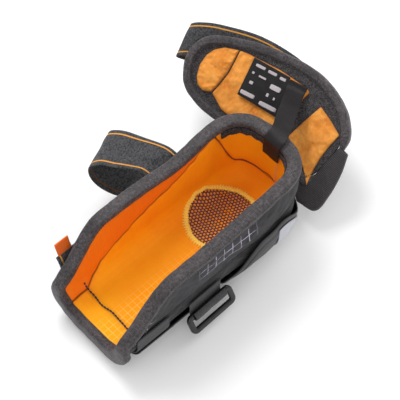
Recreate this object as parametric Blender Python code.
"""Padded joint guard: a long trough that holds the limb, a flexing upper cuff and their straps.

Frame: +X to the side with the strap ring, +Y along the limb towards the cuff, +Z out of the
open side. The guard lies on its back, and the origin is on the resting plane under the middle
of the padded window. Lengths below are in millimetres; meshes are written in metres.
"""
import math

import bmesh
import bpy
import numpy as np

MM = 0.001
GAP = 0.3                      # clearance between touching pieces

# ---- driving sizes of the trough -------------------------------------------------------------
TROUGH_HALF_WIDTH = 38.0       # inside, at the floor
WALL_LEAN = 3.0                # how much each wall leans out at the rim
BELLY_SWELL = 2.0              # extra half width half way along
LOWER_END_Y = -169.0           # open end
END_WALL_Y = 59.0              # inside of the closed end
END_FAN_Y = 20.0               # where the plan starts to round towards the closed end
END_SQUARENESS = 3.2           # 2 is an ellipse, large values are square
FLOOR_RADIUS = 18.0            # inside corner between floor and wall
LOWER_RIM = 21.0               # rim height over the floor at the open end
LEFT_RIM = 67.0
RIGHT_RIM = 73.0
END_RIM = 73.0
RIM_CLIMB = 40.0               # length over which the rim climbs from the open end

# ---- layers of the trough, from the limb outwards --------------------------------------------
LINING_T = 1.5
FOAM_FLOOR_T = 12.0
FOAM_WALL_T = 8.0
JOINT_SWELL_LEFT = 4.5         # thicker side walls beside the joint
JOINT_SWELL_RIGHT = 6.0
COVER_T = 1.5
STRAP_T = 1.6
PLATE_T = 2.5

BINDING_HEIGHT = 8.0
BINDING_END_HEIGHT = 11.0      # deeper where it wraps the open end
BINDING_END_DEPTH = 19.0       # it covers the thick floor down to the resting plane
BINDING_LAP = 1.2              # how far it stands over the layers on each side

# ---- window, cap and shell -------------------------------------------------------------------
WINDOW_R = 35.0
WINDOW_EDGE = 4.0              # width of the overlocked ring
CAP_FRONT_Y = -50.0
CAP_SIDE_EDGE = 40.0           # height of the cap's edge over the floor at its highest
CAP_END_EDGE = 8.0
CAP_PAD_ROOM = 0.2             # the curved cap comes closer to its pad between stations
CAP_PAD_REACH = 0.33           # share of the section that the pad under the cap covers
PLATE_LOW_Y = -160.0
PLATE_HIGH_Y = -57.0
PLATE_SIDE_EDGE = 3.0
RIVET_R = 2.0
RIVET_HEAD_R = 4.2
RIVET_HEAD_T = 1.3
RIVET_TAIL_R = 3.4
RIVET_TAIL_T = 0.8
RIVET_ROOM = 0.55              # the shell curves, so a rivet's rims come closer than its axis
PATCH_T = 1.1                  # hook and loop patches
PATCH_LOW, PATCH_HIGH = -2.0, 14.0   # the patch beside the joint, over the floor

# ---- straps ----------------------------------------------------------------------------------
RING_LENGTH = 57.0
RING_DEPTH = 22.0
RING_BAR = 6.0
RING_TILT = 60.0               # degrees below level
RING_Y = -78.0
RING_X = TROUGH_HALF_WIDTH + 22.0
RING_Z = 27.0
KEEPER_WIDTH = 40.0
KEEPER_T = 1.2
SHIN_STRAP_Y = -141.0
SHIN_STRAP_WIDTH = 38.0
TAB_WIDTH = 16.0

# ---- cuff ------------------------------------------------------------------------------------
CUFF_TILT = 40.0
CUFF_YAW = 12.0
CUFF_X, CUFF_Y, CUFF_LIFT = -30.0, 80.5, 14.0   # lift is over the trough's floor
CUFF_CURVE = 0.0014            # rise per square millimetre across
CUFF_FOAM_T = 7.0
CUFF_LINING_T = 1.4
CUFF_COVER_T = 1.4
CUFF_PLATE_T = 2.2
CUFF_PLATE_CENTER = (-14.0, 49.0)
CUFF_PLATE_HALF = (70.0, 27.0)
CUFF_BINDING_HALF = 5.0        # half height of its edge binding, along the cuff
CUFF_EDGE_ROOM = 1.6           # room between the binding and the layers that it frames
CUFF_STRAP_WIDTH = 38.0
LABEL_W, LABEL_H = 47.0, 41.0

# ---- derived levels --------------------------------------------------------------------------
LINING = (0.0, LINING_T)
FOAM_IN = LINING_T + GAP
FOAM_FLOOR_OUT = FOAM_IN + FOAM_FLOOR_T
COVER_FLOOR_IN = FOAM_FLOOR_OUT + GAP
COVER_FLOOR_OUT = COVER_FLOOR_IN + COVER_T
STRAP_FLOOR_IN = COVER_FLOOR_OUT + GAP
STRAP_FLOOR_OUT = STRAP_FLOOR_IN + STRAP_T
PLATE_FLOOR_IN = STRAP_FLOOR_OUT + GAP
FLOOR_Z = PLATE_FLOOR_IN + PLATE_T
PATCH_FLOOR_IN = FLOOR_Z + GAP
PATCH_FLOOR_OUT = PATCH_FLOOR_IN + PATCH_T
ACCENT_FLOOR_IN = FLOOR_Z + 2.5 * GAP
HOOK_FLOOR_IN = PATCH_FLOOR_OUT + GAP
HOOK_FLOOR_OUT = HOOK_FLOOR_IN + PATCH_T
WALL_LESS = FOAM_FLOOR_T - FOAM_WALL_T
SHIN_STRAP_LEFT, SHIN_STRAP_RIGHT = 6.0, 30.0   # heights over the floor where it ends
PLATE_RIVET_Y = (SHIN_STRAP_Y + SHIN_STRAP_WIDTH / 2 + 8, PLATE_HIGH_Y - 9)
CAP_RIVET_Y = (CAP_FRONT_Y + 14, -2.0)
RIVET_V = 0.45                 # place on the section, on the rounded corner

# Shares of the section's parameter that the floor, the corner and the wall take.
FLOOR_SHARE = 0.3
CORNER_SHARE = 0.6

SECTION_COLUMNS = np.concatenate([np.linspace(0, FLOOR_SHARE, 3),
                                  np.linspace(FLOOR_SHARE, CORNER_SHARE, 7)[1:],
                                  np.linspace(CORNER_SHARE, 1, 6)[1:]])

SIDE_STATIONS = 12
FAN_STATIONS = 11


# ---- materials -------------------------------------------------------------------------------
def material(name, colour, roughness, metallic=0.0):
    mat = bpy.data.materials.new(name)
    mat.use_nodes = True
    shader = mat.node_tree.nodes["Principled BSDF"]
    shader.inputs["Base Color"].default_value = (*colour, 1.0)
    shader.inputs["Roughness"].default_value = roughness
    shader.inputs["Metallic"].default_value = metallic
    mat.diffuse_color = (*colour, 1.0)
    return mat


def clear_scene():
    for obj in list(bpy.data.objects):
        bpy.data.objects.remove(obj, do_unlink=True)


# ---- mesh helpers ----------------------------------------------------------------------------
def solid(name, verts, faces, mat, merge=0.005):
    """A closed mesh from points in millimetres; coincident points are merged."""
    mesh = bpy.data.meshes.new(name)
    mesh.from_pydata([tuple(v) for v in np.asarray(verts)], [], [tuple(f) for f in faces])
    bm = bmesh.new()
    bm.from_mesh(mesh)
    bmesh.ops.remove_doubles(bm, verts=bm.verts, dist=merge)
    bmesh.ops.scale(bm, vec=(MM, MM, MM), verts=bm.verts)
    bmesh.ops.recalc_face_normals(bm, faces=bm.faces)
    bm.to_mesh(mesh)
    bm.free()
    obj = bpy.data.objects.new(name, mesh)
    bpy.context.scene.collection.objects.link(obj)
    mesh.materials.append(mat)
    mesh.shade_smooth()
    mesh.set_sharp_from_angle(angle=math.radians(40))
    return obj


def grid_faces(rows, cols, start, flip=False, wrap=False):
    """Quads over a rows by cols grid of points that starts at the given index."""
    faces = []
    last = rows if wrap else rows - 1
    for i in range(last):
        for j in range(cols - 1):
            a = start + i * cols + j
            b = start + ((i + 1) % rows) * cols + j
            quad = (a, b, b + 1, a + 1)
            faces.append(quad[::-1] if flip else quad)
    return faces


def slab(name, inner, outer, mat, open_start=False, wrap=False):
    """Closed sheet between two equal grids of points, shape (rows, cols, 3).

    With open_start the first column lies on a shared centre line and gets no wall. With wrap
    the rows run round a full turn, as on a disc.
    """
    rows, cols = inner.shape[:2]
    count = rows * cols
    verts = np.concatenate([inner.reshape(-1, 3), outer.reshape(-1, 3)])
    faces = grid_faces(rows, cols, 0, wrap=wrap) + grid_faces(rows, cols, count, flip=True, wrap=wrap)
    border = []
    if not wrap:
        for j in range(cols - 1):
            border.append((j, j + 1))
            border.append(((rows - 1) * cols + j + 1, (rows - 1) * cols + j))
    for i in range(rows if wrap else rows - 1):
        n = (i + 1) % rows
        border.append((i * cols + cols - 1, n * cols + cols - 1))
        if not open_start:
            border.append((n * cols, i * cols))
    faces += [(a, b, b + count, a + count) for a, b in border]
    return solid(name, verts, faces, mat)


def tube(name, centres, across, out, half_across, half_out, mat, sides=12, wrap=True, square=2.6):
    """Rounded bar along a path: a superellipse section in the plane of across and out.

    The half sizes are numbers, or a column with one for each point of the path.
    """
    angles = np.arange(sides) * 2 * math.pi / sides
    c, s = np.cos(angles), np.sin(angles)
    power = 2.0 / square
    ca = np.tile(np.sign(c) * np.abs(c) ** power, (len(centres), 1))
    so = np.tile(np.sign(s) * np.abs(s) ** power, (len(centres), 1))
    rings = (centres[:, None, :] + (ca * half_across)[..., None] * across[:, None, :]
             + (so * half_out)[..., None] * out[:, None, :])
    rows = len(centres)
    faces = []
    for i in range(rows if wrap else rows - 1):
        for j in range(sides):
            k = (j + 1) % sides
            n = (i + 1) % rows
            faces.append((i * sides + j, n * sides + j, n * sides + k, i * sides + k))
    if not wrap:
        faces.append(tuple(range(sides)))
        faces.append(tuple((rows - 1) * sides + j for j in reversed(range(sides))))
    return solid(name, rings.reshape(-1, 3), faces, mat)


def unit(a):
    return a / np.linalg.norm(a, axis=-1, keepdims=True)


def smooth_curve(points, count, closed=False):
    """Catmull-Rom curve through points, sampled evenly by its parameter."""
    p = np.asarray(points, float)
    if closed:
        p = np.vstack([p[-1], p, p[0], p[1]])
        spans = len(points)
    else:
        p = np.vstack([2 * p[0] - p[1], p, 2 * p[-1] - p[-2]])
        spans = len(points) - 1
    s = np.linspace(0, spans, count, endpoint=not closed)
    k = np.minimum(s.astype(int), spans - 1)
    t = (s - k)[:, None]
    a, b, c, d = p[k], p[k + 1], p[k + 2], p[k + 3]
    return 0.5 * (2 * b + (c - a) * t + (2 * a - 5 * b + 4 * c - d) * t ** 2
                  + (3 * b - a - 3 * c + d) * t ** 3)


def ease(x):
    x = np.clip(x, 0.0, 1.0)
    return x * x * (3 - 2 * x)


# ---- the trough's surface --------------------------------------------------------------------
def trough_stations():
    """Stations round the rim: centre point on the floor, direction in plan and inside width."""
    ys = np.linspace(LOWER_END_Y, END_FAN_Y, SIDE_STATIONS)
    run = (ys - LOWER_END_Y) / (END_FAN_Y - LOWER_END_Y)
    width = TROUGH_HALF_WIDTH + BELLY_SWELL * np.sin(math.pi * run)
    left = [(0.0, y, -1.0, 0.0, w, -1) for y, w in zip(ys, width)]
    right = [(0.0, y, 1.0, 0.0, w, 1) for y, w in zip(ys[::-1], width[::-1])]
    fan = []
    depth = END_WALL_Y - END_FAN_Y
    n = END_SQUARENESS
    for angle in np.linspace(math.pi, 0, FAN_STATIONS + 2)[1:-1]:
        c, s = math.cos(angle), math.sin(angle)
        r = (abs(c / TROUGH_HALF_WIDTH) ** n + abs(s / depth) ** n) ** (-1 / n)
        fan.append((0.0, END_FAN_Y, c, s, r, c))
    return np.array(left + fan + right)


STATIONS = trough_stations()
STATION_Y = STATIONS[:, 1] + STATIONS[:, 3] * STATIONS[:, 4]


def rim_height(stations):
    """Height of the rim over the floor: it climbs from the open end and dips half way."""
    y = stations[:, 1]
    side = stations[:, 5]
    top = np.where(side < 0, LEFT_RIM, RIGHT_RIM)
    climb = ease((y - LOWER_END_Y) / (1.6 * RIM_CLIMB) + 0.08)
    dip = np.where(side < 0, 5.0, 0.0) * np.exp(-((y + 22.0) / 38.0) ** 2)
    height = LOWER_RIM + (top - LOWER_RIM) * climb - dip
    end = ease((stations[:, 1] + stations[:, 3] * stations[:, 4] + 20.0) / 60.0)
    return height * (1 - end) + END_RIM * end


def joint_swell(stations):
    """Extra wall thickness: a bell along the limb, longer and lower on the left side."""
    y = stations[:, 1] + stations[:, 3] * stations[:, 4]
    left = JOINT_SWELL_LEFT * np.exp(-((y + 6.0) / 42.0) ** 2)
    right = JOINT_SWELL_RIGHT * np.exp(-((y - 2.0) / 38.0) ** 2)
    share = ease(0.5 + 0.5 * stations[:, 5])
    return left + (right - left) * share


def trough_point(station, v, depth, swell_share):
    """Points on a layer of the trough.

    v runs from the floor's centre line (0) over the corner to the rim (1). depth is the
    distance from the lining's face, measured at the floor; the walls are thinner by the
    foam's own difference. swell_share is 1 outside the foam and 0 inside it.
    """
    cx, cy, dx, dy, width, _ = station.T
    rim = rim_height(station)
    swell = joint_swell(station) * swell_share
    wall_depth = depth - WALL_LESS * swell_share
    half = width + wall_depth
    radius = FLOOR_RADIUS + 0.5 * (depth + wall_depth)
    floor = FLOOR_Z - depth
    flat = half - radius
    height = np.maximum(FLOOR_Z + rim - floor - radius, 0.5)
    grow = lambda a: np.broadcast_to(a, cx.shape)[:, None]
    f = np.clip(v / FLOOR_SHARE, 0, 1)
    g = np.clip((v - FLOOR_SHARE) / (CORNER_SHARE - FLOOR_SHARE), 0, 1) * math.pi / 2
    h = np.clip((v - CORNER_SHARE) / (1 - CORNER_SHARE), 0, 1)
    rho = grow(flat) * f + grow(radius) * np.sin(g)
    z = floor + grow(radius) * (1 - np.cos(g)) + grow(height) * h
    rise = np.clip((z - FLOOR_Z) / END_RIM, 0, 1)
    rho = rho + WALL_LEAN * rise + grow(swell) * np.sin(g) * (1 - h ** 2)
    x = grow(cx) + grow(dx) * rho
    y = grow(cy) + grow(dy) * rho
    return np.stack([x, y, z], axis=-1)


def v_of_height(station, height, depth=0.0, swell_share=0.0):
    """Section parameter at which a wall reaches a height over the floor."""
    wall_depth = depth - WALL_LESS * swell_share
    radius = FLOOR_RADIUS + 0.5 * (depth + wall_depth)
    top = rim_height(station)
    over = FLOOR_Z + height - (FLOOR_Z - depth)
    wall = np.maximum(depth + top - radius, 0.5)
    corner = np.arccos(np.clip(1 - over / radius, -1, 1)) / (math.pi / 2)
    low = FLOOR_SHARE + (CORNER_SHARE - FLOOR_SHARE) * np.clip(corner, 0, 1)
    high = CORNER_SHARE + (1 - CORNER_SHARE) * np.clip((over - radius) / wall, 0, 1)
    return np.where(over < radius, low, high)


def section_grid(v0, v1):
    """Section parameters for each station: the shared columns, cut to the range v0 to v1.

    Every layer bends on the same columns, so the layers stay parallel where they are flat.
    """
    return np.clip(SECTION_COLUMNS[None, :], v0[:, None], v1[:, None])


def trough_layer(name, mat, depth_in, depth_out, share_in, share_out, v0, v1, pick, centre=False):
    station = STATIONS[pick]
    v = section_grid(v0[pick], v1[pick])
    inner = trough_point(station, v, depth_in, share_in)
    outer = trough_point(station, v, depth_out, share_out)
    return slab(name, inner, outer, mat, open_start=centre)


# ---- seams of the lining ---------------------------------------------------------------------
SEAM_START_Y = -149.0
SEAM_PEAK_Y = 24.0
END_SEAM = 20.0                # height of the end wall's seam over the floor


def seam_heights():
    """Height of the seam that ends the floor panel, at each station."""
    y = STATION_Y
    rim = rim_height(STATIONS)
    climb = np.clip((y - SEAM_START_Y) / (SEAM_PEAK_Y - SEAM_START_Y), 0, 1)
    side = 4.0 + (rim - 4.0) * climb ** 0.85
    fall = ease((y - SEAM_PEAK_Y) / (END_WALL_Y - 8.0 - SEAM_PEAK_Y))
    return np.where(y < SEAM_PEAK_Y, side, rim + (END_SEAM - rim) * fall)


def build_trough(mats):
    ones = np.ones(len(STATIONS))
    every = np.arange(len(STATIONS))
    trough_layer("foam_core", mats["foam"], FOAM_IN, FOAM_FLOOR_OUT, 0, 1,
                 0 * ones, ones, every, centre=True)
    trough_layer("outer_cover", mats["cover"], COVER_FLOOR_IN, COVER_FLOOR_OUT, 1, 1,
                 0 * ones, ones, every, centre=True)
    seam = v_of_height(STATIONS, seam_heights())
    slit = 0.004
    floor_top = np.minimum(seam - slit, 1 - slit)
    centre = trough_layer("lining_center", mats["lining"], *LINING, 0, 0,
                          0 * ones, floor_top, every, centre=True)
    wall_low = np.minimum(seam + slit, 1 - 6 * slit)
    left = np.where((STATION_Y < SEAM_PEAK_Y - 10) & (STATIONS[:, 5] < 0))[0]
    right = np.where((STATION_Y < SEAM_PEAK_Y - 10) & (STATIONS[:, 5] > 0))[0]
    end = np.where(STATION_Y > SEAM_PEAK_Y + 8)[0]
    for name, pick, mat in (("lining_left", left, "lining_side"), ("lining_right", right, "lining_side"),
                            ("lining_end", end, "lining")):
        trough_layer(name, mats[mat], *LINING, 0, 0, wall_low, ones, pick)
    build_binding(mats)
    build_window(centre, mats)
    build_shells(mats)


def rim_path():
    """Middle of the walls' edge all the way round: rim, then back across the open end."""
    ones = np.ones(len(STATIONS))
    top_in = trough_point(STATIONS, ones[:, None], 0.0, 0)[:, 0]
    top_out = trough_point(STATIONS, ones[:, None], COVER_FLOOR_OUT, 1)[:, 0]
    v = np.linspace(0.93, 0, 9)
    low = STATIONS[:1]
    high = STATIONS[-1:]
    parts_in, parts_out = [top_in], [top_out]
    floor_share = [0 * STATION_Y]
    for station, params in ((high, v), (low, v[::-1][1:])):
        share = ease((CORNER_SHARE + 0.2 - params) / 0.4)
        depth = COVER_FLOOR_OUT + (BINDING_END_DEPTH - COVER_FLOOR_OUT) * share
        parts_in.append(trough_point(station, params[None, :], 0.0, 0)[0])
        parts_out.append(np.array([trough_point(station, np.array([[a]]), d, 1)[0, 0]
                                   for a, d in zip(params, depth)]))
        floor_share.append(share)
    return np.concatenate(parts_in), np.concatenate(parts_out), np.concatenate(floor_share)


def build_binding(mats):
    """Woven tape folded over the edge: an oval bar that sits on the edge of all the layers."""
    inside, outside, floor_share = rim_path()
    middle = 0.5 * (inside + outside)
    across = unit(outside - inside)
    tangent = unit(np.roll(middle, -1, axis=0) - np.roll(middle, 1, axis=0))
    out = unit(np.cross(tangent, across))
    heart = np.array([0.0, -50.0, FLOOR_Z + 20.0])
    if np.sum((middle - heart) * out) < 0:
        out = -out
    across = unit(np.cross(out, tangent))
    half_out = 0.5 * (BINDING_HEIGHT + (BINDING_END_HEIGHT - BINDING_HEIGHT) * floor_share)[:, None]
    half_across = 0.5 * np.linalg.norm(outside - inside, axis=-1)[:, None] + BINDING_LAP
    centres = middle + out * (half_out + GAP + 0.4)
    tube("rim_binding", centres, across, out, half_across, half_out, mats["binding"])


# ---- Boolean helpers -------------------------------------------------------------------------
def hidden(obj):
    obj.hide_render = True
    obj.display_type = "WIRE"
    return obj


def cutter(name, radius, low, high, x=0.0, y=0.0, sides=48):
    bm = bmesh.new()
    bmesh.ops.create_cone(bm, cap_ends=True, segments=sides, radius1=radius * MM, radius2=radius * MM,
                          depth=(high - low) * MM)
    bmesh.ops.translate(bm, vec=(x * MM, y * MM, 0.5 * (low + high) * MM), verts=bm.verts)
    mesh = bpy.data.meshes.new(name)
    bm.to_mesh(mesh)
    bm.free()
    obj = bpy.data.objects.new(name, mesh)
    bpy.context.scene.collection.objects.link(obj)
    return hidden(obj)


def boolean(obj, other, operation):
    mod = obj.modifiers.new(operation.title(), "BOOLEAN")
    mod.object = other
    mod.operation = operation
    mod.solver = "EXACT"


def floor_height(x, y, depth):
    """Height of a layer of the floor and of its rounded corners above the resting plane."""
    dy = np.maximum(y - END_FAN_Y, 0.0)
    rho = np.hypot(x, dy)
    c, s = np.abs(x) / np.maximum(rho, 1e-6), dy / np.maximum(rho, 1e-6)
    n = END_SQUARENESS
    fan = ((c / TROUGH_HALF_WIDTH) ** n + (s / (END_WALL_Y - END_FAN_Y)) ** n + 1e-12) ** (-1 / n)
    run = np.clip((y - LOWER_END_Y) / (END_FAN_Y - LOWER_END_Y), 0, 1)
    side = TROUGH_HALF_WIDTH + BELLY_SWELL * np.sin(math.pi * run)
    width = np.where(dy > 0, fan, side)
    radius = FLOOR_RADIUS + depth
    bend = np.clip((rho - (width - FLOOR_RADIUS)) / radius, 0, 0.999)
    return FLOOR_Z - depth + radius * (1 - np.sqrt(1 - bend ** 2))


def window_disc(name, r0, r1, depth_top, depth_bottom, rings, mat):
    """A round piece that follows the floor, between two radii."""
    angle = np.arange(48) * 2 * math.pi / 48
    r = np.linspace(r0, r1, rings)
    x = np.cos(angle)[:, None] * r[None, :]
    y = np.sin(angle)[:, None] * r[None, :]
    faces = [np.stack([x, y, floor_height(x, y, d)], axis=-1) for d in (depth_top, depth_bottom)]
    return slab(name, *faces, mat, open_start=r0 == 0, wrap=True)


def build_window(lining, mats):
    """The padded window: an opening in the lining, a net in it and an overlocked ring over it."""
    opening = cutter("window_opening", WINDOW_R, FLOOR_Z - 8, FLOOR_Z + 45)
    boolean(lining, opening, "DIFFERENCE")
    window_disc("mesh_window", 0, WINDOW_R - GAP, GAP / 2, LINING_T - GAP / 2, 7, mats["net"])
    window_disc("mesh_ring", WINDOW_R - 1, WINDOW_R + WINDOW_EDGE, -1.7, -GAP, 3, mats["overlock"])


# ---- hard shells -----------------------------------------------------------------------------
def cap_edge_heights():
    """The cap's edge over the floor: low in front, high beside the joint, low behind it."""
    y = STATION_Y
    rise = ease((y - CAP_FRONT_Y) / 46.0)
    side = 2.0 + (CAP_SIDE_EDGE - 2.0) * rise
    fall = ease((y - END_FAN_Y) / (END_WALL_Y - 4.0 - END_FAN_Y))
    return side + (CAP_END_EDGE - side) * fall


def build_shells(mats):
    ones = np.ones(len(STATIONS))
    every = np.arange(len(STATIONS))
    edge = v_of_height(STATIONS, cap_edge_heights(), PLATE_FLOOR_IN, 1)
    cap_sides = every[STATION_Y > CAP_FRONT_Y]
    cap = trough_layer("joint_cap", mats["cap"], PLATE_FLOOR_IN, FLOOR_Z, 1, 1,
                       0 * ones, edge, cap_sides, centre=True)
    pad_sides = every[STATION_Y > CAP_FRONT_Y + 12]
    trough_layer("cap_pad", mats["foam"], STRAP_FLOOR_IN, STRAP_FLOOR_OUT - CAP_PAD_ROOM, 1, 1,
                 0 * ones, CAP_PAD_REACH * ones, pad_sides, centre=True)
    plate = cross_band("shin_plate", mats["plate"], np.linspace(PLATE_LOW_Y, PLATE_HIGH_Y, 8),
                       PLATE_FLOOR_IN, FLOOR_Z, PLATE_SIDE_EDGE, PLATE_SIDE_EDGE)
    strap_ys = SHIN_STRAP_Y + np.linspace(-0.5, 0.5, 4) * SHIN_STRAP_WIDTH
    cross_band("shin_strap", mats["strap"], strap_ys, STRAP_FLOOR_IN, STRAP_FLOOR_OUT,
               SHIN_STRAP_LEFT, SHIN_STRAP_RIGHT)
    rivets("plate_rivet", plate, mats, [(side, y) for y in PLATE_RIVET_Y for side in (-1, 1)])
    rivets("cap_rivet", cap, mats, [(side, y) for y in CAP_RIVET_Y for side in (-1, 1)])
    patch = np.where((np.abs(STATION_Y + 16.0) < 24) & (STATIONS[:, 5] < 0))[0]
    low = v_of_height(STATIONS, PATCH_LOW * ones, FLOOR_Z, 1)
    high = v_of_height(STATIONS, PATCH_HIGH * ones, FLOOR_Z, 1)
    trough_layer("loop_patch", mats["strap"], PATCH_FLOOR_IN, PATCH_FLOOR_OUT, 1, 1, low, high, patch)
    trough_layer("joint_strap_hook", mats["hook"], HOOK_FLOOR_IN, HOOK_FLOOR_OUT, 1, 1,
                 low, high, patch)
    for name, side in (("cap_accent_left", -1), ("cap_accent_right", 1)):
        spot = np.where((STATION_Y > 16) & (STATIONS[:, 5] * side > 0.55))[0]
        trough_layer(name, mats["accent"], ACCENT_FLOOR_IN, ACCENT_FLOOR_IN + PATCH_T, 1, 1,
                     low, edge - 0.05, spot)


def side_stations(ys, side):
    """Stations along one side at any places along the limb."""
    ys = np.asarray(ys, float)
    run = (ys - LOWER_END_Y) / (END_FAN_Y - LOWER_END_Y)
    width = TROUGH_HALF_WIDTH + BELLY_SWELL * np.sin(math.pi * run)
    zero = np.zeros_like(ys)
    return np.stack([zero, ys, zero + side, zero, width, zero + side], axis=-1)


def cross_band(name, mat, ys, depth_in, depth_out, left_height, right_height):
    """A band round the back, from a height on the left wall to a height on the right wall."""
    left, right = side_stations(ys, -1), side_stations(ys, 1)
    none = np.zeros(len(ys))
    v_left = section_grid(none, v_of_height(left, none + left_height, depth_in, 1))
    v_right = section_grid(none, v_of_height(right, none + right_height, depth_in, 1))
    faces = []
    for depth in (depth_in, depth_out):
        a = trough_point(left, v_left, depth, 1)[:, ::-1]
        b = trough_point(right, v_right, depth, 1)[:, 1:]
        faces.append(np.concatenate([a, b], axis=1))
    return slab(name, faces[0], faces[1], mat)


def turned(name, profile, origin, axis, mat, sides=12):
    """A turned solid: (radius, height) pairs spun about an axis, with closed poles."""
    axis = unit(np.asarray(axis, float))
    side = unit(np.cross(axis, [0.0, 1.0, 0.01]))
    other = np.cross(axis, side)
    angle = np.arange(sides) * 2 * math.pi / sides
    ring = np.cos(angle)[:, None] * side + np.sin(angle)[:, None] * other
    verts = [origin + axis * h + ring[i] * r for i in range(sides) for r, h in profile]
    cols = len(profile)
    faces = grid_faces(sides, cols, 0, wrap=True)
    return solid(name, np.array(verts), faces, mat)


def rivets(name, shell, mats, places):
    """Rivets through a shell's rounded corners: head outside, shank in its hole, tail inside."""
    head, tail = RIVET_HEAD_T, RIVET_TAIL_T
    for number, (side, y) in enumerate(places, 1):
        station = side_stations([y], side)
        outer, inner = (trough_point(station, np.array([[RIVET_V]]), d, 1)[0, 0]
                        for d in (FLOOR_Z, PLATE_FLOOR_IN))
        axis = unit(outer - inner)
        hole = [(0, -6), (RIVET_R + GAP, -6), (RIVET_R + GAP, 6), (0, 6)]
        boolean(shell, hidden(turned(f"{name}_hole_{number}", hole, outer, axis, mats["ring"])),
                "DIFFERENCE")
        through = -np.linalg.norm(outer - inner)
        seat = through - GAP - RIVET_ROOM
        rest = GAP + RIVET_ROOM
        profile = [(0, seat - tail), (RIVET_TAIL_R, seat - tail),
                   (RIVET_TAIL_R, seat), (RIVET_R, seat), (RIVET_R, rest),
                   (RIVET_HEAD_R, rest), (RIVET_HEAD_R * 0.75, rest + head * 0.8), (0, rest + head)]
        turned(f"{name}_{number}", profile, outer, axis, mats["metal"])


# ---- the cuff's surface ----------------------------------------------------------------------
def cuff_axes():
    t, p = math.radians(CUFF_TILT), math.radians(CUFF_YAW)
    across = np.array([math.cos(p), math.sin(p), 0.0])
    level = np.array([-math.sin(p), math.cos(p), 0.0])
    along = level * math.cos(t) + np.array([0, 0, math.sin(t)])
    inward = -level * math.sin(t) + np.array([0, 0, math.cos(t)])
    return across, along, inward


CUFF_HEEL = np.array([CUFF_X, CUFF_Y, FLOOR_Z + CUFF_LIFT])


def cuff_point(u, v, w):
    """Point of the cuff: u across, v along the limb, w up from the lining's face."""
    across, along, inward = cuff_axes()
    u, v, w = (np.asarray(a, float)[..., None] for a in np.broadcast_arrays(u, v, w))
    return CUFF_HEEL + u * across + v * along + (w + CUFF_CURVE * u * u) * inward


# The cuff's outline, anticlockwise from its heel: left lobe, top, right side.
CUFF_OUTLINE = [(-56, 5), (-84, 13), (-102, 27), (-110, 52), (-103, 75), (-84, 87), (-48, 96),
                (-8, 99), (28, 95), (60, 80), (79, 60), (84, 40), (80, 20), (73, 0), (62, -11),
                (44, -5), (0, 0)]
# The side wing hangs on its right edge: inner edge beside the binding, then the free edge.
WING_INNER = [(86, 37), (82.5, 19), (75.5, -1), (67, -13.5), (56, -14.5)]
WING_OUTER = [(88, 37), (91, 16), (90, -8), (84, -28), (62, -29)]


def cuff_edge(inset, count=160):
    """The outline as a smooth closed curve, moved inwards by inset."""
    curve = smooth_curve(CUFF_OUTLINE, count, closed=True)
    tangent = unit(np.roll(curve, -1, axis=0) - np.roll(curve, 1, axis=0))
    inward = np.stack([tangent[:, 1], -tangent[:, 0]], axis=-1)
    middle = curve.mean(axis=0)
    if np.sum((middle - curve) * inward) < 0:
        inward = -inward
    return curve + inward * inset


def cuff_limits(inset):
    """Lower and upper edge of the inset outline as functions of u."""
    edge = cuff_edge(inset)
    left, right = int(np.argmin(edge[:, 0])), int(np.argmax(edge[:, 0]))
    order = np.roll(edge, -left, axis=0)
    turn = (right - left) % len(edge)
    one, two = order[:turn + 1], np.vstack([order[turn:], order[:1]])[::-1]
    top, bottom = (one, two) if one[:, 1].mean() > two[:, 1].mean() else (two, one)
    upper = lambda u: np.interp(u, top[:, 0], top[:, 1])
    lower = lambda u: np.interp(u, bottom[:, 0], bottom[:, 1])
    return edge[left, 0], edge[right, 0], lower, upper


def cuff_sheet(name, mat, inset, w_top, w_bottom, start=0.0, stop=1.0, cols=6, rows=16,
               slant=0.0):
    """A layer of the cuff between two shares of its width; slant leans its side edges."""
    u_low, u_high, lower, upper = cuff_limits(inset)
    u_a = u_low + (u_high - u_low) * start
    u_b = u_low + (u_high - u_low) * stop
    turn = np.linspace(math.pi if start == 0 else math.pi / 2, 0 if stop == 1 else math.pi / 2, rows)
    if start == 0 and stop == 1:
        share = 0.5 + 0.5 * np.cos(turn)
    elif start == 0:
        share = 1 + np.cos(turn)
    elif stop == 1:
        share = np.cos(turn)
    else:
        share = np.linspace(0, 1, rows)
    span = u_b - u_a - (0.6 if start == 0 or stop == 1 else 0)
    u = u_a + (0.3 if start == 0 else 0) + span * share
    b = np.linspace(0, 1, cols)
    low, high = lower(u), upper(u)
    v = low[:, None] + (high - low)[:, None] * b[None, :]
    mid = 45.0
    lean_left = slant if start > 0 else 0.0
    lean_right = slant if stop < 1 else 0.0
    lean = lean_left + (lean_right - lean_left) * share
    uu = u[:, None] + lean[:, None] * (v - mid)
    inner = cuff_point(uu, v, w_top)
    outer = cuff_point(uu, v, w_bottom)
    return slab(name, inner, outer, mat)


CUFF_FOAM_TOP = -CUFF_LINING_T - GAP
CUFF_FOAM_BOTTOM = CUFF_FOAM_TOP - CUFF_FOAM_T
CUFF_COVER_TOP = CUFF_FOAM_BOTTOM - GAP
CUFF_COVER_BOTTOM = CUFF_COVER_TOP - CUFF_COVER_T
CUFF_PLATE_TOP = CUFF_COVER_BOTTOM - GAP
CUFF_PLATE_BOTTOM = CUFF_PLATE_TOP - CUFF_PLATE_T
CUFF_SEAM_SLANT = 0.12
WING_TOP = -1.0


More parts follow.
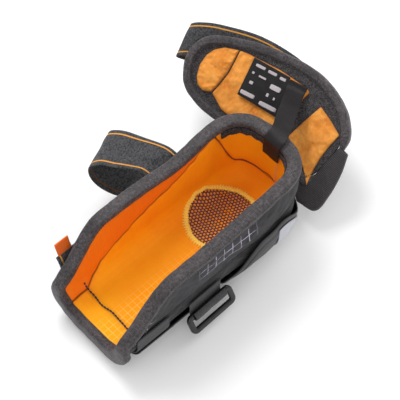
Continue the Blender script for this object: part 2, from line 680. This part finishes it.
def build_cuff(mats):
    inset = 2 * CUFF_BINDING_HALF + CUFF_EDGE_ROOM
    cuff_sheet("cuff_foam", mats["foam"], inset, CUFF_FOAM_TOP, CUFF_FOAM_BOTTOM)
    cuff_sheet("cuff_cover", mats["cover"], inset, CUFF_COVER_TOP, CUFF_COVER_BOTTOM)
    for name, start, stop, mat in (("cuff_lining_left", 0.0, 0.207, "suede"),
                                   ("cuff_lining_center", 0.210, 0.800, "suede"),
                                   ("cuff_lining_right", 0.803, 1.0, "suede")):
        cuff_sheet(name, mats[mat], inset, 0.0, -CUFF_LINING_T, start, stop, slant=CUFF_SEAM_SLANT)
    cuff_disc("cuff_plate", superellipse(*CUFF_PLATE_HALF, 2.8, 36), CUFF_PLATE_CENTER,
              CUFF_PLATE_TOP, CUFF_PLATE_BOTTOM, 6, mats["plate"])
    build_cuff_binding(mats)
    build_wing(mats)
    build_label(mats)


def build_cuff_binding(mats):
    edge = cuff_edge(CUFF_BINDING_HALF, count=56)
    depth = 0.5 * CUFF_COVER_BOTTOM
    centres = cuff_point(edge[:, 0], edge[:, 1], depth)
    _, _, inward = cuff_axes()
    tangent = unit(np.roll(centres, -1, axis=0) - np.roll(centres, 1, axis=0))
    across = unit(inward - tangent * (tangent @ inward)[:, None])
    out = np.cross(across, tangent)
    tube("cuff_binding", centres, across, out, -depth + 1.2, CUFF_BINDING_HALF, mats["binding"])


def build_wing(mats):
    inner, outer = (smooth_curve(points, 14) for points in (WING_INNER, WING_OUTER))
    share = np.linspace(0, 1, 4)[None, :, None]
    flat = inner[:, None, :] * (1 - share) + outer[:, None, :] * share
    top = cuff_point(flat[..., 0], flat[..., 1], WING_TOP)
    bottom = cuff_point(flat[..., 0], flat[..., 1], CUFF_COVER_BOTTOM)
    slab("cuff_wing", top, bottom, mats["wing"])


LABEL_CENTER = (-21.5, 59.0)
LABEL_T = 0.8


def superellipse(half_u, half_v, power, count):
    """Closed outline between a rectangle and an ellipse."""
    angle = np.arange(count) * 2 * math.pi / count
    c, s = np.cos(angle), np.sin(angle)
    return np.stack([np.sign(c) * np.abs(c) ** (2 / power) * half_u,
                     np.sign(s) * np.abs(s) ** (2 / power) * half_v], axis=-1)


def cuff_disc(name, edge, centre, w_top, w_bottom, rings, mat):
    """A closed piece on the cuff that fills an outline round a centre."""
    share = np.linspace(0, 1, rings)
    flat = edge[:, None, :] * share[None, :, None] + np.array(centre)
    top = cuff_point(flat[..., 0], flat[..., 1], w_top)
    bottom = cuff_point(flat[..., 0], flat[..., 1], w_bottom)
    return slab(name, top, bottom, mat, open_start=True, wrap=True)


def build_label(mats):
    """A rounded satin label, sewn flat on the cuff's lining."""
    edge = superellipse(LABEL_W / 2, LABEL_H / 2, 7.0, 28)
    cuff_disc("care_label", edge, LABEL_CENTER, GAP + LABEL_T, GAP, 5, mats["label"])


# ---- bands: straps made from two edge curves ---------------------------------------------------
def band(name, near, far, thickness, mat, count=28, cols=3):
    """A flat strap whose two edges follow two curves, thickened about its middle."""
    a, b = smooth_curve(near, count), smooth_curve(far, count)
    share = np.linspace(0, 1, cols)[None, :, None]
    sheet = a[:, None, :] * (1 - share) + b[:, None, :] * share
    along = np.gradient(sheet, axis=0)
    normal = unit(np.cross(unit(along), unit(b - a)[:, None, :]))
    return slab(name, sheet + normal * thickness / 2, sheet - normal * thickness / 2, mat)


STRAP_ROOT_Z = FLOOR_Z + 53.0


def build_joint_strap(mats):
    """The elastic beside the joint: from under the rim, out in a loop and back to its patch."""
    near = [(19.5, -42, STRAP_ROOT_Z), (34, -45, FLOOR_Z + 56), (54, -55, FLOOR_Z + 50),
            (72, -62, FLOOR_Z + 43), (83, -67, FLOOR_Z + 32), (82, -69, FLOOR_Z + 18),
            (70, -66, FLOOR_Z + 8), (52, -58, FLOOR_Z + 5), (38, -48, FLOOR_Z + 9),
            (29.5, -40, FLOOR_Z + 15)]
    far = [(19.5, -2.5, STRAP_ROOT_Z), (34, -6, FLOOR_Z + 59), (56, -15, FLOOR_Z + 59),
           (78, -23, FLOOR_Z + 57), (93, -29, FLOOR_Z + 48), (93, -31, FLOOR_Z + 32),
           (78, -27, FLOOR_Z + 19), (56, -18, FLOOR_Z + 12), (36, -9, FLOOR_Z + 13),
           (25.5, -3, FLOOR_Z + 18)]
    beside = lambda edge: [(-TROUGH_HALF_WIDTH - away, y, z) for away, y, z in edge]
    band("joint_strap", beside(near), beside(far), STRAP_T, mats["strap"], count=40)


def build_shin_strap_end(mats):
    """The free end of the lower strap, up the left wall, with its pull tab."""
    low, high = SHIN_STRAP_Y - SHIN_STRAP_WIDTH / 2, SHIN_STRAP_Y + SHIN_STRAP_WIDTH / 2
    wall = side_stations([SHIN_STRAP_Y], -1)
    foot_v = v_of_height(wall, np.array([SHIN_STRAP_LEFT + 2.0]), STRAP_FLOOR_OUT, 1)[:, None]
    foot = trough_point(wall, foot_v, 0.5 * (STRAP_FLOOR_IN + STRAP_FLOOR_OUT), 1)[0, 0]
    x, z = foot[0], foot[2]
    rise = [(x - 0.4, z), (x - 2.0, z + 7), (x - 3.2, z + 15), (x - 4.6, z + 23), (x - 6.4, z + 29),
            (x - 8.6, z + 33)]
    band("shin_strap_end", [(a, low, b) for a, b in rise], [(a, high, b) for a, b in rise],
         STRAP_T, mats["strap"], count=10)
    tab = [(x - 9.2, z + 34.4), (x - 11, z + 41), (x - 12, z + 48)]
    band("pull_tab", [(a, low + 3, b) for a, b in tab], [(a, low + 3 + TAB_WIDTH, b) for a, b in tab],
         1.4, mats["tab"], count=6)


def build_keeper(mats):
    """Webbing sewn to the wall and folded round the ring's inner bar."""
    radius = RING_BAR / 2 + 1.2 + KEEPER_T / 2
    wall_x = RING_X - radius
    turn = np.radians(np.linspace(180, 440, 11))
    loop = [(RING_X + radius * math.cos(a), RING_Z + radius * math.sin(a)) for a in turn]
    path = [(wall_x, RING_Z + 16), (wall_x, RING_Z + 8)] + loop
    low, high = RING_Y - KEEPER_WIDTH / 2, RING_Y + KEEPER_WIDTH / 2
    band("ring_keeper", [(a, low, b) for a, b in path], [(a, high, b) for a, b in path],
         KEEPER_T, mats["strap"], count=26)


def build_cuff_strap(mats):
    """The cuff's elastic: sewn behind its right side, round its left side and back on itself."""
    run = [(40, -14.4), (0, -14.6), (-50, -14.8), (-94, -15.2), (-115, -16.8), (-125, -21.0),
           (-118, -26.0), (-100, -27.0), (-72, -25.0)]
    near_v = [44, 60, 65, 58, 51, 45, 45, 48, 51]
    near = [cuff_point(u, v, w) for (u, w), v in zip(run, near_v)]
    far = [cuff_point(u, v + CUFF_STRAP_WIDTH, w) for (u, w), v in zip(run, near_v)]
    band("cuff_strap", near, far, STRAP_T, mats["strap"], count=34)
    hook = [cuff_point(u, 54, -22.8 - 0.02 * (u + 76)) for u in (-76, -86, -96)]
    hook_far = [cuff_point(u, 84, -22.8 - 0.02 * (u + 76)) for u in (-76, -86, -96)]
    band("cuff_strap_hook", hook, hook_far, PATCH_T, mats["hook"], count=5)


LINK_X, LINK_CUFF_U = 6.0, 10.0
LINK_WIDTH, LINK_T, LINK_SAG = 21.0, 1.2, 1.0


def build_link_strap(mats):
    """Satin elastic from the cuff's lining over the end rim and down inside the end wall."""
    rim = FLOOR_Z + END_RIM
    wall = END_WALL_Y + WALL_LEAN
    over = rim + BINDING_HEIGHT + 4.0
    edges = []
    for side in (-0.5, 0.5):
        x, u = LINK_X + side * LINK_WIDTH, LINK_CUFF_U + side * LINK_WIDTH
        sewn, top = np.array(cuff_point(u, 69, 3.8)), np.array([x, wall + 6.0, over])
        span = [sewn + (top - sewn) * t - np.array([0, 0, LINK_SAG * math.sin(math.pi * t)])
                for t in (0.25, 0.5, 0.75)]
        edges.append([cuff_point(u, 78, 2.4), sewn, *span, top, (x, wall - 3.4, rim + 7),
                      (x, wall - 4.0, rim), (x, wall - 4.0, rim - 16)])
    band("link_strap", edges[0], edges[1], LINK_T, mats["satin"], count=26)


def build_hinge_web(mats):
    """Fabric web that hangs the cuff on the trough's end, under the cuff's heel."""
    wall = END_WALL_Y + COVER_FLOOR_OUT - WALL_LESS + 2.8
    edges = []
    for x, u, heel in ((-30.0, -2.0, -1.0), (22.0, 45.0, -7.0)):
        edges.append([(x, wall, FLOOR_Z + 24), (x, wall + 1, FLOOR_Z + 15),
                      cuff_point(u, heel - 5, -7), cuff_point(u, heel - 3, -14.5),
                      cuff_point(u, heel + 8, -16.5), cuff_point(u, heel + 18, -15.5)])
    band("hinge_web", edges[0], edges[1], 1.6, mats["cover"], count=16)


def build_ring(mats):
    """A moulded rectangular ring; its inner bar is the axis that it swings on."""
    t = math.radians(RING_TILT)
    out = np.array([math.cos(t), 0.0, -math.sin(t)])
    along = np.array([0.0, 1.0, 0.0])
    normal = np.cross(out, along)
    start = np.array([RING_X, RING_Y, RING_Z])
    bar = RING_BAR / 2
    half_l, depth, corner = RING_LENGTH / 2 - bar, RING_DEPTH - RING_BAR, 3.5
    points = []
    for sx, sy, a0 in ((1, 1, 0), (0, 1, 90), (0, 0, 180), (1, 0, 270)):
        cx = depth - corner if sx else corner
        cy = half_l - corner if sy else -half_l + corner
        for a in np.linspace(a0, a0 + 90, 4):
            r = math.radians(a)
            points.append((cx + corner * math.cos(r), cy + corner * math.sin(r)))
    p = np.array(points)
    centres = start + p[:, :1] * out + p[:, 1:] * along
    tangent = unit(np.roll(centres, -1, axis=0) - np.roll(centres, 1, axis=0))
    across = np.tile(normal, (len(p), 1))
    outwards = np.cross(across, tangent)
    tube("strap_ring", centres, across, outwards, bar * 0.75, bar, mats["ring"], sides=10)
    return start


def build(mats):
    build_trough(mats)
    build_cuff(mats)
    build_joint_strap(mats)
    build_ring(mats)
    build_keeper(mats)
    build_shin_strap_end(mats)
    build_cuff_strap(mats)
    build_link_strap(mats)
    build_hinge_web(mats)


def main():
    clear_scene()
    mats = {
        "lining": material("orange_ripstop", (0.90, 0.33, 0.02), 0.6),
        "lining_side": material("orange_mesh", (0.72, 0.16, 0.02), 0.7),
        "foam": material("grey_foam", (0.35, 0.35, 0.36), 0.9),
        "cover": material("charcoal_fabric", (0.06, 0.06, 0.07), 0.8),
        "binding": material("charcoal_tape", (0.09, 0.09, 0.09), 0.7),
        "net": material("net", (0.22, 0.08, 0.10), 0.6),
        "overlock": material("overlock_thread", (0.95, 0.55, 0.08), 0.6),
        "cap": material("cap_shell", (0.10, 0.10, 0.11), 0.4),
        "plate": material("plate_shell", (0.08, 0.08, 0.09), 0.4),
        "suede": material("tan_suede", (0.75, 0.32, 0.08), 0.8),
        "wing": material("wing_fabric", (0.05, 0.05, 0.055), 0.7),
        "label": material("black_label", (0.01, 0.01, 0.012), 0.3),
        "strap": material("grey_elastic", (0.07, 0.075, 0.08), 0.8),
        "hook": material("hook_tape", (0.02, 0.02, 0.02), 0.9),
        "tab": material("red_webbing", (0.75, 0.10, 0.02), 0.7),
        "satin": material("black_satin", (0.02, 0.02, 0.02), 0.4),
        "accent": material("light_grey_accent", (0.45, 0.48, 0.52), 0.4),
        "metal": material("dark_rivet", (0.12, 0.12, 0.13), 0.35, 1.0),
        "ring": material("black_plastic", (0.015, 0.015, 0.016), 0.25),
    }
    build(mats)


main()
